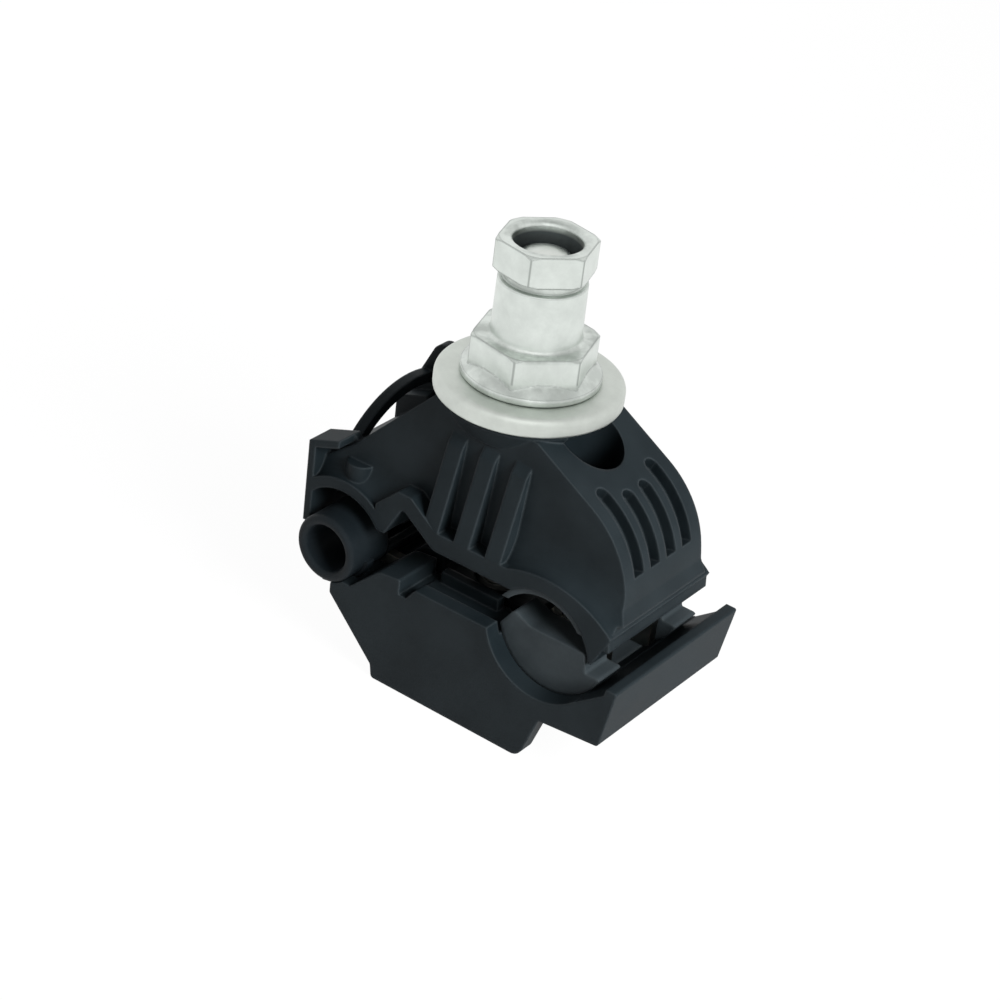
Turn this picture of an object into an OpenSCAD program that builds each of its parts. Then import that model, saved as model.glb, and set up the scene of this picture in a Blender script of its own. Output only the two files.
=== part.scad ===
// Insulation piercing connector: two moulded jaws on one bolt, drawn together by a shear-head nut.
// X runs across the two cable channels, with the main cable at +X and the branch cable at -X.
// Y runs along the cables and Z up the bolt. Z = 0 is the plane of the skirts that it stands on.

/* [Jaws] */
// Depth of the lower jaw along the cables
jaw_depth = 31; // [28:0.1:36]
// Wall of the lower jaw's front and rear faces
face_t = 2.6; // [2.2:0.1:2.6]
// Height of the upper jaw's lip above the lower jaw's front edge, as delivered
jaw_gap = 5.8; // [5.7:0.1:7]

/* [Lower jaw] */
// Height of the front edge
front_z = 18.3; // [17.8:0.1:19]
// Left end of the skirts' feet
skirt_x0 = -11; // [-12:0.1:-9]
// Right end of the skirts' feet
skirt_x1 = 16.4; // [15:0.1:17.4]
// Rounding of the skirts' right corner
foot_r = 2; // [1:0.1:3]
// Width of the bevel at the skirts' left end
bevel_w = 0.4; // [0.1:0.1:1]
// Height of the bevel at the skirts' left end
bevel_h = 2.2; // [1.5:0.1:3]
// Height of the underside between the skirts
floor_z = 7.4; // [7:0.1:7.6]
// Where the underside of the main cable's side begins
step_x = 19; // [18.5:0.1:21]
// Height of the underside there
step_z = 7.7; // [7.6:0.1:8.4]
// Right edge of the underside, at the flange's foot
flange_foot_x = 29.2; // [28.8:0.1:31]
// Height of the flange's foot
flange_foot_z = 8.6; // [8:0.1:9.5]
// Lean of the flange over its height
flange_lean = 1.7; // [1.2:0.1:3]
// Wall of the flange
flange_t = 1.8; // [1.4:0.1:2.2]
// Left end of the ledge inside the flange, right of the main cradle's axis
ledge_dx = 6.9; // [6.7:0.1:7.4]
// Height of the ledge's left end
ledge_z0 = 13.8; // [13.6:0.1:14.4]
// Height of the ledge's right end
ledge_z1 = 17.2; // [16.6:0.1:17.6]
// Left end of the skirt's slope
slope_x = -20.1; // [-21:0.1:-19]
// Height of the left end of the slope
slope_z = 10.8; // [10:0.1:11]
// Left end of the nose below the branch cable
nose_x = -23.6; // [-24:0.1:-23]
// Height of the nose's underside
nose_z = 10.2; // [9.6:0.1:10.4]
// Left end of the ramp beside the branch cable
saddle_x = -16.5; // [-17:0.1:-16]
// Height of the ramp's left end
saddle_z = 13.5; // [13:0.1:14]
// Left end of the post beside the notch
post_x = -11.5; // [-12:0.1:-11]
// Height of the post over the front edge
post_h = 0.5; // [0.2:0.1:1]
// Right end of the notch's floor
notch_x = -6.2; // [-6.4:0.1:-5.8]
// Width of the notch's floor
notch_w = 1.4; // [1:0.1:2]
// Width of the notch's ramp
notch_ramp = 1.4; // [0.8:0.1:2]
// Depth of the notch in the front edge
notch_d = 2; // [1:0.1:2.4]
// Left end of the deck behind the front edge
deck_x = -6; // [-7:0.1:-5.4]
// Depth of the deck behind the front edge
deck_drop = 1.9; // [1:0.1:2]
// Height of the guard walls on the deck, beside the blades
guard_h = 2; // [1.6:0.1:2.2]
// Thickness of the guard walls
guard_t = 1.6; // [1.2:0.1:1.8]
// Half length of the guard walls
guard_l = 5.2; // [4.6:0.1:5.3]
// Wall of the boss around the bolt's head
boss_t = 3.4; // [2:0.1:3.6]
// Thickness of the webs beside the boss
web_t = 1.8; // [1.2:0.1:2.4]
// Height of the webs' lower edge
web_z = 3; // [2:0.1:4]
// Rounding of the outer corners
edge_r = 0.6; // [0.3:0.1:0.8]

/* [Upper jaw] */
// Thickness of the lip between the channels
lip_t = 3; // [2.6:0.1:3.4]
// Lip left over the hollow between the channels
roof_t = 0.4; // [0.3:0.1:0.8]
// How far the canopies' rims stand out of the dome
rim_out = 3; // [2.6:0.1:3.4]
// Height of the dome above the lip
dome_h = 22.4; // [21.8:0.1:24]
// Left end of the dome's top
dome_x0 = -9.3; // [-11:0.1:-8.6]
// Radius of the right shoulder
shoulder_r = 15.2; // [14.6:0.1:15.8]
// Right face of the dome
shoulder_x1 = 26.6; // [26.2:0.1:27]
// Height of the shoulder's axis above the lip
shoulder_dz = 3.4; // [3:0.1:4]
// Angle of the right slope from level
slope_angle = 30; // [28:1:32]
// Height of the flared band below the right face
face_h = 2.2; // [1.6:0.1:2.6]
// Flare of the right face at its foot
face_flare = 0.8; // [0.3:0.1:1.2]
// Depth of the step below the right face
face_step = 0.9; // [0.5:0.1:1.1]
// Height of the skirt below the step
skirt_h = 3.6; // [3:0.1:4]
// Flare of the skirt at its foot
skirt_flare = 0.3; // [0.1:0.1:0.6]
// Lower end of the left slope
left_foot_x = -22.6; // [-23:0.1:-22]
// Height of the left slope's lower end above the lip
left_foot_dz = 8.6; // [8.2:0.1:9.4]
// Height of the left end above the lip
end_rise = 4; // [3.4:0.1:5]
// Radius of the washer's seat
seat_r = 12.3; // [11.4:0.1:13]
// Height of the washer's seat above the dome
seat_h = 1; // [0.8:0.1:1.6]
// Depth of the cone below the seat
seat_cone_h = 3.4; // [2.6:0.1:4]
// Narrowing of the cone below the seat
seat_cone_w = 2.2; // [1.4:0.1:3]
// Outer face of the left end wall
end_x = -28.5; // [-29:0.1:-28.4]
// Wall of the left end
end_t = 1.2; // [1:0.1:1.3]
// Depth of the end wall's foot below the lip
end_drop = 5.6; // [5:0.1:5.8]
// Height of the left lugs above the lip
lug_dz = 8; // [7:0.1:9]
// Length of the left lugs along the cables
lug_l = 4.8; // [4.6:0.1:5]
// Radius of the barrel beside a lug's pocket
barrel_r = 2.2; // [1.8:0.1:2.4]
// Place of the barrel's axis
barrel_x = -20.8; // [-21.4:0.1:-20.2]
// Height of the barrel's upper end above the lip
barrel_dz = 6.6; // [6:0.1:8]
// Height of the rear fin above the lip
fin_dz = 17.8; // [16:0.1:18.4]
// Thickness of the rear fin
fin_t = 2.2; // [1.6:0.1:2.6]
// Rounding of the rear fin's upper left corner
fin_r = 2; // [1:0.1:2.4]
// Left end of the rear fin's top
fin_x = -23.8; // [-24.4:0.1:-23.2]
// Right end of the rear fin
fin_x1 = -19; // [-20:0.1:-18]
// Right end of the lugs' roof
roof_x1 = -23; // [-24:0.1:-22.4]
// Rise of the lugs' roof to its right end
roof_rise = 2; // [1:0.1:2.4]
// Outer radius of the arched bar from the front lug to the rear fin
bar_r = 17.5; // [17.2:0.1:18]
// Thickness of the arched bar
bar_t = 1.7; // [1.5:0.1:2.2]
// Width of the arched bar
bar_w = 1.8; // [1.5:0.1:2.4]
// Place of the arched bar
bar_x = -25; // [-25.4:0.1:-24.6]
// Distance of the arched bar's crown behind the bolt
bar_y = 6.5; // [6:0.1:7]
// Height of the arched bar's crown above the lip
bar_dz = 13.2; // [12.8:0.1:13.6]
// Right foot of the notch in the lip
ramp_x = -4.5; // [-5:0.1:-4]
// Place of the notch's peak
peak_x = -10.5; // [-10.8:0.1:-10.2]
// Height of the notch's peak above the lip
peak_dz = 4.2; // [3.6:0.1:4.6]
// Rounding of the notch's right foot
ramp_r = 2; // [1:0.1:3]
// Lip over the notch's peak
peak_t = 2.4; // [2:0.1:3]
// Place of the tip between the notch and the branch cable
tip_x = -13.4; // [-13.6:0.1:-13.2]
// Width that the tip takes towards the branch cable
tip_w = 2; // [1.8:0.1:2.4]
// Depth of the tip below the lip
tip_drop = 1.2; // [0.8:0.1:1.6]

/* [Ribs and slots] */
// Number of ribs on each face
rib_n = 3; // [2:1:3]
// Width of a rib
rib_w = 2.7; // [2:0.05:3.2]
// Distance between ribs
rib_pitch = 5.6; // [5:0.1:6]
// Place of the middle of the ribs
rib_x = 0; // [-0.5:0.05:0.5]
// How far the ribs stand out at their upper ends
rib_top = 0.9; // [0.8:0.1:2]
// Depth of the ribs' upper ends below the dome's top
rib_drop = 4; // [3.4:0.1:5]
// Lean of the ribs towards the main cable
rib_lean = 5; // [2:1:6]
// Bevel of the ribs' upper ends
rib_bevel = 1.6; // [1:0.1:2]
// Number of slots on the right shoulder
slot_n = 4; // [2:1:4]
// Width of a slot
slot_w = 2.4; // [1.6:0.1:2.6]
// Distance between slots
slot_pitch = 4; // [3.4:0.1:4.4]
// Depth of a slot
slot_d = 2; // [1:0.1:2.4]
// Angle of the slots' lower end about the shoulder's axis
slot_a0 = 15; // [10:1:20]
// How far the outer slots run on past the shoulder's arc, in degrees
slot_up = 3; // [1:1:6]
// How far below the end of the shoulder's arc the middle slots end, in degrees
slot_down = 5; // [5:1:10]
// Diameter of the cored hole in the right slope
core_d = 10.8; // [10:0.1:11]
// Place of the cored hole
core_x = 10.9; // [10.6:0.1:12]
// Height of the cored hole's floor above the lip
core_dz = 10.1; // [9.8:0.1:12]

/* [Main channel] */
// Place of the lower cradle's axis
cradle_x = 17.5; // [17.2:0.1:17.8]
// Radius of the lower cradle
cradle_r = 9.5; // [9.3:0.1:9.7]
// Height of the cradle's axis above the front edge
cradle_dz = 2.2; // [2:0.1:2.6]
// Place of the upper arch's axis
arch_x = 15.1; // [14.9:0.1:15.4]
// Radius of the upper arch
arch_r = 8.85; // [8.6:0.05:9]
// Depth of the arch's axis below the lip
arch_dz = 6.9; // [6.6:0.1:7.2]
// Depth of the arch's foot below the lip
foot_drop = 5.4; // [4.8:0.1:5.5]
// Width of the arch's foot
foot_w = 0.4; // [0.3:0.1:0.8]
// Right end of the canopy over the main cable
canopy_x1 = 27; // [26.6:0.1:27.2]
// Radius of the canopy's rim
rim_r = 18; // [17:0.1:19]
// Thickness of the canopy's rim over the arch's crown
rim_t = 2.4; // [2:0.1:2.8]
// Width of the hollow flare between the rims and the dome
flare_w = 5; // [4:0.1:6]

/* [Branch channel] */
// Place of the branch cable's axis
branch_x = -21.5; // [-21.6:0.1:-21.3]
// Depth of the sleeve's axis below the lower jaw's front edge
sleeve_drop = 0.6; // [0.4:0.1:0.8]
// Outer diameter of the sleeve
sleeve_od = 10.7; // [10.3:0.1:10.8]
// Bore of the sleeve
sleeve_id = 7.4; // [7:0.1:7.6]
// How far the sleeve stands out of the front face
sleeve_out = 0.4; // [0.2:0.1:1]
// Gap between the sleeve and the branch seals
sleeve_gap = 0.5; // [0.3:0.1:0.8]
// Height of the sleeve's collar over its outside
collar_h = 0.7; // [0.4:0.1:0.8]
// Length of the sleeve's collar
collar_l = 1.6; // [1:0.1:2]
// Depth of the collar's upper edges below the sleeve's axis
collar_drop = 1; // [0.6:0.1:2]
// Radius of the upper arch
branch_r = 8.1; // [8:0.05:8.3]
// Depth of the branch arch's axis below the lip
branch_dz = 5.9; // [5.8:0.1:6.1]
// Thickness of the canopy's rim over the branch arch
branch_rim_t = 1.8; // [1.6:0.1:2.4]

/* [Contact blades] */
// Thickness of a blade
blade_t = 1.6; // [1.2:0.1:1.8]
// Distance between the two blades of a jaw, middle to middle
blade_gap = 11.6; // [11.4:0.1:11.8]
// Height of a blade's bar between the channels
blade_bar_h = 2.8; // [2.4:0.1:2.8]
// Margin of a blade beside its teeth
blade_end = 0.6; // [0.5:0.1:0.8]
// Width of the blade's bevelled corner at the branch end
blade_cut_w = 2.2; // [2:0.1:2.6]
// Height of the blade's bevelled corner at the branch end
blade_cut_h = 0.9; // [0.6:0.1:1]
// Height of the upper blades' backs above the lip
blade_back_dz = 6; // [5.8:0.1:6.2]
// Distance between teeth
tooth_pitch = 1.7; // [1.5:0.05:1.75]
// Height of a tooth
tooth_h = 1.5; // [1.2:0.1:1.6]
// Number of teeth on the main cable
main_teeth = 6; // [4:1:6]
// Number of teeth on the branch cable
branch_teeth = 3; // [2:1:3]
// Radius of the toothed bow that holds the main cable
bow_r = 11; // [10:0.5:14]
// How far the teeth stand clear of the rubber or the bore around them
tooth_clear = 0.4; // [0.2:0.1:0.6]

/* [Seals] */
// Height of the lower main seal at its middle, above the cradle's lowest point
seal_dip = 8.7; // [8.5:0.1:8.8]
// Height of the lower main seal's horn
horn_h = 1.3; // [0.6:0.1:1.3]
// Place of the horn, left of the cradle's axis
horn_dx = 7; // [6.8:0.1:7.2]
// Width of the slope beside the horn
horn_w = 3; // [2.4:0.1:3.2]
// Rounding at the foot of the slope beside the horn
horn_r = 2; // [1:0.1:2.4]
// Drop from the horn to the seal's left edge
horn_drop = 3.6; // [3:0.1:4]
// Depth of the seal's right wings below its middle
wing_drop = 3; // [3:0.1:3.6]
// Right end of the wings, right of the cradle's axis
wing_dx = 8.6; // [8.2:0.1:8.8]
// Gap between the wings and the foot of the upper arch
wing_gap = 0.4; // [0.3:0.1:0.6]
// Rounding of the main seals' corners
seal_r = 0.6; // [0.3:0.1:0.8]
// Recess of the main seals behind the inner faces
seal_gap = 0.5; // [0.4:0.1:1]
// Rubber below the lower blades
bed_t = 1.5; // [1.2:0.1:1.6]
// Margin of the blades' window beside the blades
blade_margin = 0.4; // [0.3:0.1:0.6]
// Half width of the upper seal's window
window_w = 5.9; // [5.8:0.1:6]
// Rubber between the upper arch and the main cable
upper_seal_t = 1; // [0.8:0.1:1]
// Height of the upper seal's ends above the arch's axis
upper_seal_dz = 5; // [4.8:0.1:5.2]
// Wall of the branch seals
branch_seal_t = 1.5; // [1.2:0.1:1.6]
// Depth of the lower branch seal's edges below the sleeve's axis
branch_seal_drop = 1; // [0.6:0.1:2]
// Height of the upper branch seal's ends above the arch's axis
branch_seal_dz = 3.4; // [3.2:0.1:4]

/* [Bolt and nut] */
// Nominal diameter of the bolt
bolt_d = 8; // [7.6:0.1:8]
// Length of the bevel at the bolt's end
bolt_tip = 1; // [0.6:0.1:1.4]
// Across flats of the bolt's head
head_af = 13; // [12:0.1:13]
// Height of the bolt's head
head_h = 5.3; // [4.5:0.1:5.5]
// Height of the head's seat above the skirts' feet
head_seat_z = 8; // [7.8:0.1:8.4]
// Depth of the bolt's end below the top of the nut
bolt_end_d = 2; // [1:0.1:3]
// Diameter of the top washer
washer_d = 27.4; // [25.4:0.1:29]
// Thickness of the top washer
washer_t = 2.9; // [2:0.1:3.2]
// Diameter of the nut's flange
flange_d = 20.4; // [19.4:0.1:22]
// Height of the nut's flange at its rim
flange_rim_h = 1.1; // [0.8:0.1:1.5]
// Height of the nut's flange at the hexagon
flange_h = 2.4; // [2:0.1:3]
// Across flats of the nut's lower hexagon
low_af = 16.3; // [15.5:0.1:16.6]
// Height of the lower hexagon
low_h = 3.9; // [3:0.1:5]
// Diameter of the neck
neck_d = 13; // [12.4:0.1:13.5]
// Height of the neck
neck_h = 8.7; // [7:0.1:10]
// Diameter at the bottom of the shear groove
shear_d = 11.2; // [10.8:0.1:11.6]
// Height of the shear groove
shear_h = 1.4; // [1:0.1:2]
// Across flats of the nut's upper hexagon
top_af = 13; // [12.6:0.1:13.5]
// Height of the upper hexagon
top_h = 4.7; // [4:0.1:6]
// Diameter of the hollow in the upper hexagon
hollow_d = 9.8; // [9.2:0.1:10.2]
// Depth of the hollow below the shear groove
hollow_sink = 0.5; // [0.3:0.1:1]
// Turn of both hexagons
hex_turn = 48; // [0:1:60]
// Chamfer of the hexagons' corners
hex_chamfer = 0.6; // [0.4:0.1:0.8]
// Bevel of the washer's and the nut's edges
metal_edge = 0.4; // [0.2:0.1:0.5]

/* [Fits] */
// Radial clearance of the bolt in the jaws and the washer
bolt_clear = 0.35; // [0.2:0.05:0.4]
// Radial clearance of the bolt in the nut's thread
thread_clear = 0.1; // [0.05:0.01:0.15]
// Clearance of inserts in their pockets
insert_clear = 0.1; // [0.05:0.01:0.12]
// Clearance of the upper jaw between the lower jaw's faces, on each side
nest_clear = 0.3; // [0.2:0.1:0.5]
// Clearance of the bolt's head across its flats
head_clear = 0.4; // [0.2:0.1:0.6]
// Gap under the nut's flange
nut_gap = 0.05; // [0.02:0.01:0.1]

/* [Hidden] */
$fn = 96;
// Overlap of a cut beyond the face that it opens
over = 1;
// Reach of a cut that is open on one side
far = 60;
// Sink of a blend into its neighbours, so that the surfaces cross
bite = 0.15;
// Steps in a rounded corner
corner_steps = 6;
// Steps in a hollow flare
flare_steps = 8;
// Colours of the mouldings, the rubber and the metal
jaw_colour = [0.16, 0.18, 0.19];
seal_colour = [0.27, 0.3, 0.31];
sleeve_colour = [0.2, 0.22, 0.23];
blade_colour = [0.75, 0.74, 0.7];
steel_colour = [0.8, 0.82, 0.81];

jaw_half = jaw_depth / 2;
blade_y = blade_gap / 2;
window_half = blade_y + blade_t / 2 + blade_margin;
inner_half = jaw_half - face_t;
upper_half = inner_half - nest_clear;
dome_half = upper_half - rim_out;
lip_z = front_z + jaw_gap;
deck_z = front_z - deck_drop;
cradle_z = front_z + cradle_dz;
arch_z = lip_z - arch_dz;
branch_z = lip_z - branch_dz;
sleeve_z = front_z - sleeve_drop;
sleeve_y = jaw_half + sleeve_out;
sleeve_y1 = window_half + sleeve_gap;
sleeve_wall = (sleeve_od - sleeve_id) / 2;
dome_z = lip_z + dome_h;
seat_z = dome_z + seat_h;
washer_z = seat_z + washer_t;
nut_z = washer_z + nut_gap;
nut_top = nut_z + flange_h + low_h + neck_h + shear_h + top_h;
bolt_top = nut_top - bolt_end_d;
bolt_hole_r = bolt_d / 2 + bolt_clear;
flange_top_x = flange_foot_x + flange_lean;
end_in_x = end_x + end_t;
shoulder_x = shoulder_x1 - shoulder_r;
shoulder_z = lip_z + shoulder_dz;
arc_end = 90 - slope_angle;
face_foot_z = shoulder_z - face_h;
skirt_foot_z = face_foot_z - skirt_h;
lug_z = lip_z + lug_dz;
bar_axis_z = lip_z + bar_dz - bar_r;
rim_z = arch_z + arch_r + rim_t - rim_r;
slot_half = blade_t / 2 + insert_clear;
seal_half = inner_half - seal_gap;
lower_blade_z = cradle_z - cradle_r + bed_t;
upper_blade_z = lip_z + blade_back_dz;
seal_dip_z = cradle_z - cradle_r + seal_dip;
upper_seal_z = arch_z + arch_r - upper_seal_t;
main_teeth_w = main_teeth * tooth_pitch / 2;
branch_teeth_w = branch_teeth * tooth_pitch / 2;
blade_x0 = branch_x - branch_teeth_w - blade_end;
branch_slot_x1 = branch_x + branch_teeth_w + blade_end;

// Outline helpers: a corner is [x, z, radius], and each corner becomes an arc
function unit(v) = v / norm(v);
function flat(p) = [p[0], p[1]];
function turned(v, a) = [v[0] * cos(a) - v[1] * sin(a), v[0] * sin(a) + v[1] * cos(a)];
function corner(a, b, c, r) =
    r == 0 ? [b] :
    let (u = unit(a - b), v = unit(c - b), half = acos(u * v) / 2)
    let (centre = b + unit(u + v) * r / sin(half))
    let (first = b + u * r / tan(half) - centre, last = b + v * r / tan(half) - centre)
    let (turn = atan2(cross(first, last), first * last))
    [for (i = [0 : corner_steps]) centre + turned(first, turn * i / corner_steps)];
function rounded(path) =
    let (n = len(path))
    [for (i = [0 : n - 1])
        each corner(flat(path[(i + n - 1) % n]), flat(path[i]), flat(path[(i + 1) % n]), path[i][2])];

// A profile in X and Z, drawn out along Y
module along_y(depth) {
    rotate([90, 0, 0]) linear_extrude(depth, center = true) children();
}

// A round bar along Y, with its front end at y0 and its rear end at y1
module bar_y(x, z, r, y0, y1) {
    translate([x, y1, z]) rotate([90, 0, 0]) cylinder(r = r, h = y1 - y0);
}

// Both ends of what is made at the front
module front_and_rear() {
    children();
    mirror([0, 1, 0]) children();
}

module block(x0, x1, y0, y1, z0, z1) {
    translate([x0, y0, z0]) cube([x1 - x0, y1 - y0, z1 - z0]);
}

module hexagon(af, h) {
    cylinder(d = af / cos(30), h = h, $fn = 6);
}

// Hexagon with its corners chamfered at the ends that are asked for
module chamfered_hexagon(af, h, low = 0, high = 0) {
    full = af / cos(30) / 2;
    intersection() {
        hexagon(af, h);
        rotate_extrude() polygon([
            [0, 0], [full - low, 0], [full, low * tan(30)],
            [full, h - high * tan(30)], [full - high, h], [0, h]]);
    }
}

// Outline of the lower jaw, seen from the front
module lower_outline() {
    notch_x0 = notch_x - notch_w;
    notch_z = front_z - notch_d;
    polygon(rounded([
        [skirt_x0, 0, edge_r], [skirt_x1, 0, foot_r],
        [step_x, step_z, edge_r], [flange_foot_x, flange_foot_z, edge_r],
        [flange_top_x, front_z, edge_r / 2], [notch_x + notch_ramp, front_z, edge_r],
        [notch_x, notch_z, 0], [notch_x0, notch_z, 0],
        [notch_x0, front_z + post_h, edge_r / 2], [post_x, front_z, 2 * edge_r],
        [saddle_x, saddle_z, 0], [slope_x, saddle_z, 0],
        [slope_x, slope_z, edge_r], [skirt_x0 - bevel_w, bevel_h, edge_r]]));
}

// Boss below the deck that keeps the bolt's head from turning, with webs to both skirts
module head_boss() {
    boss_r = head_af / 2 + boss_t;
    translate([0, 0, over]) cylinder(r = boss_r, h = floor_z);
    for (x = [-boss_r + web_t, boss_r - web_t])
        block(x - web_t / 2, x + web_t / 2, -inner_half - over, inner_half + over, web_z, floor_z + over);
}

// Slots that hold the two blades of a jaw
module blade_slots(x0, x1, z0, z1) {
    for (y = [-blade_y, blade_y])
        block(x0, x1, y - slot_half, y + slot_half, z0, z1);
}

module lower_jaw() {
    pocket_r = sleeve_od / 2 + insert_clear;
    ledge_lean = flange_lean * (front_z - ledge_z1) / (front_z - flange_foot_z);
    flange_in_x = flange_top_x - flange_t;
    color(jaw_colour)
    difference() {
        union() {
            difference() {
                along_y(jaw_depth) lower_outline();
                // Trough between the skirts
                block(-far, far, -inner_half, inner_half, -over, floor_z);
                // Deck behind the front edge
                block(deck_x, cradle_x, -inner_half, inner_half, deck_z, far);
                // Ledge inside the flange
                along_y(2 * jaw_depth) polygon([
                    [cradle_x + ledge_dx, ledge_z0], [flange_in_x - ledge_lean, ledge_z1],
                    [flange_in_x, front_z], [flange_in_x, far], [cradle_x, far], [cradle_x, front_z]]);
            }
            head_boss();
            // Walls on the deck that guard the blades and the bolt
            front_and_rear()
                block(-guard_l, guard_l, window_half, window_half + guard_t, deck_z - over, deck_z + guard_h);
            // Nose below the branch cable, behind the front face
            along_y(2 * inner_half) polygon([
                [saddle_x, slope_z], [saddle_x, saddle_z], [nose_x, saddle_z], [nose_x, nose_z],
                [slope_x, slope_z]]);
        }
        // Main and branch cradles
        bar_y(cradle_x, cradle_z, cradle_r, -jaw_half - over, jaw_half + over);
        bar_y(branch_x, sleeve_z, pocket_r, -jaw_half - over, jaw_half + over);
        front_and_rear()
            bar_y(branch_x, sleeve_z, pocket_r + collar_h,
                  -inner_half, -inner_half + collar_l + 2 * insert_clear);
        blade_slots(blade_x0 - insert_clear, cradle_x, lower_blade_z - insert_clear, far);
        // Bolt hole and the pocket of its head
        translate([0, 0, -over]) cylinder(r = bolt_hole_r, h = far);
        translate([0, 0, -over]) rotate(hex_turn) hexagon(head_af + head_clear, head_seat_z + over);
    }
}

module clamp_bolt() {
    color(steel_colour) {
        translate([0, 0, head_seat_z - head_h]) rotate(hex_turn)
            chamfered_hexagon(head_af, head_h, low = hex_chamfer);
        rotate_extrude() polygon([
            [0, head_seat_z - over], [bolt_d / 2, head_seat_z - over], [bolt_d / 2, bolt_top - bolt_tip],
            [bolt_d / 2 - bolt_tip, bolt_top], [0, bolt_top]]);
    }
}

// Row of teeth along a bow around x, rising to the sides, as outline points from right to left
function bow(x, r, n, tip_z) =
    [for (i = [0 : 2 * n])
        let (dx = (n - i) * tooth_pitch / 2)
        [x + dx, tip_z + r - sqrt(r * r - dx * dx) - (i % 2 == 0 ? tooth_h : 0)]];

// Toothed plate, as outline points: a bar from the branch cable to the main cable
function blade_outline(x, base_z, branch_tip, main_tip) = concat(
    [[x + main_teeth_w + blade_end, base_z], [x + main_teeth_w + blade_end, main_tip - tooth_h]],
    bow(x, bow_r, main_teeth, main_tip),
    [[x - main_teeth_w - blade_end, base_z + blade_bar_h],
     [branch_x + branch_teeth_w + blade_end, base_z + blade_bar_h]],
    bow(branch_x, sleeve_id / 2, branch_teeth, branch_tip),
    [[blade_x0, branch_tip - tooth_h / 2], [blade_x0, base_z + blade_cut_h],
     [blade_x0 + blade_cut_w, base_z]]);

module lower_blade(side) {
    color(blade_colour)
    translate([0, side * blade_y, 0]) along_y(blade_t)
        polygon(blade_outline(cradle_x, lower_blade_z, sleeve_z - sleeve_id / 2 + tooth_clear,
                              seal_dip_z - tooth_clear));
}

module lower_front_blade() {
    lower_blade(-1);
}

module lower_rear_blade() {
    lower_blade(1);
}

// Lower seal of the main cable: a rubber wall at each end and a floor under the blades
module lower_main_seal() {
    foot_x = arch_x + arch_r - wing_gap;
    wing_z = seal_dip_z - wing_drop;
    left_x = cradle_x - cradle_r;
    color(seal_colour)
    difference() {
        intersection() {
            bar_y(cradle_x, cradle_z, cradle_r - insert_clear, -seal_half, seal_half);
            along_y(jaw_depth) polygon(rounded([
                [left_x - over, 0, 0], [cradle_x + wing_dx, 0, 0], [cradle_x + wing_dx, wing_z, seal_r],
                [foot_x, wing_z, seal_r / 2], [foot_x - wing_gap, seal_dip_z, seal_r],
                [cradle_x - horn_dx + horn_w, seal_dip_z, horn_r],
                [cradle_x - horn_dx, seal_dip_z + horn_h, seal_r],
                [left_x, seal_dip_z + horn_h - horn_drop, 0], [left_x - over, seal_dip_z - horn_drop, 0]]));
        }
        block(-far, far, -window_half, window_half, lower_blade_z - insert_clear, far);
    }
}

// Saddle of rubber under the branch cable, slotted for the blades
module lower_branch_seal() {
    color(sleeve_colour)
    difference() {
        bar_y(branch_x, sleeve_z, sleeve_od / 2, -window_half, window_half);
        bar_y(branch_x, sleeve_z, sleeve_od / 2 - branch_seal_t, -far, far);
        block(-far, 0, -far, far, sleeve_z - branch_seal_drop, far);
        blade_slots(blade_x0 - insert_clear, branch_slot_x1 + insert_clear, 0, far);
        blade_slots(branch_x, 0, 0, lower_blade_z + blade_bar_h + insert_clear);
    }
}

// Soft tube with a half collar that sits in the lower jaw
module branch_tube() {
    lip_r = sleeve_wall / 2;
    bar_y(branch_x, sleeve_z, sleeve_od / 2, -sleeve_y + lip_r, -sleeve_y1);
    translate([branch_x, -sleeve_y + lip_r, sleeve_z]) rotate([90, 0, 0]) rotate_extrude()
        translate([sleeve_id / 2 + lip_r, 0]) circle(r = lip_r);
    difference() {
        bar_y(branch_x, sleeve_z, sleeve_od / 2 + collar_h - insert_clear,
              -inner_half + insert_clear, -inner_half + insert_clear + collar_l);
        block(-far, 0, -far, far, sleeve_z - collar_drop, far);
    }
}

module branch_sleeve() {
    color(sleeve_colour)
    difference() {
        branch_tube();
        bar_y(branch_x, sleeve_z, sleeve_id / 2, -far, far);
    }
}

// Closed end of the branch channel, with a rounded outer end
module branch_end_cap() {
    color(sleeve_colour)
    mirror([0, 1, 0])
    difference() {
        union() {
            branch_tube();
            bar_y(branch_x, sleeve_z, sleeve_id / 2 + sleeve_wall / 2, -sleeve_y, -sleeve_y + sleeve_wall);
        }
        bar_y(branch_x, sleeve_z, sleeve_id / 2, -sleeve_y + sleeve_wall, far);
    }
}

// Side view of the dome between the canopies, from the left slope to the right face
module dome_profile() {
    slope_top = shoulder_r * [sin(slope_angle), cos(slope_angle)];
    top_x1 = shoulder_x + slope_top[0] - (dome_z - shoulder_z - slope_top[1]) / tan(slope_angle);
    band_x = shoulder_x1 + face_flare;
    polygon([
        [end_x, lip_z - end_drop], [shoulder_x1, skirt_foot_z],
        [band_x - face_step + skirt_flare, skirt_foot_z],
        [band_x - face_step, face_foot_z], [band_x, face_foot_z],
        [shoulder_x1, shoulder_z], [shoulder_x, shoulder_z],
        [shoulder_x + slope_top[0], shoulder_z + slope_top[1]],
        [top_x1, dome_z], [dome_x0, dome_z], [left_foot_x, lip_z + left_foot_dz], [end_x, lip_z + end_rise]]);
    intersection() {
        translate([shoulder_x, shoulder_z]) circle(r = shoulder_r);
        translate([shoulder_x, shoulder_z]) square(shoulder_r);
    }
}

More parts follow.
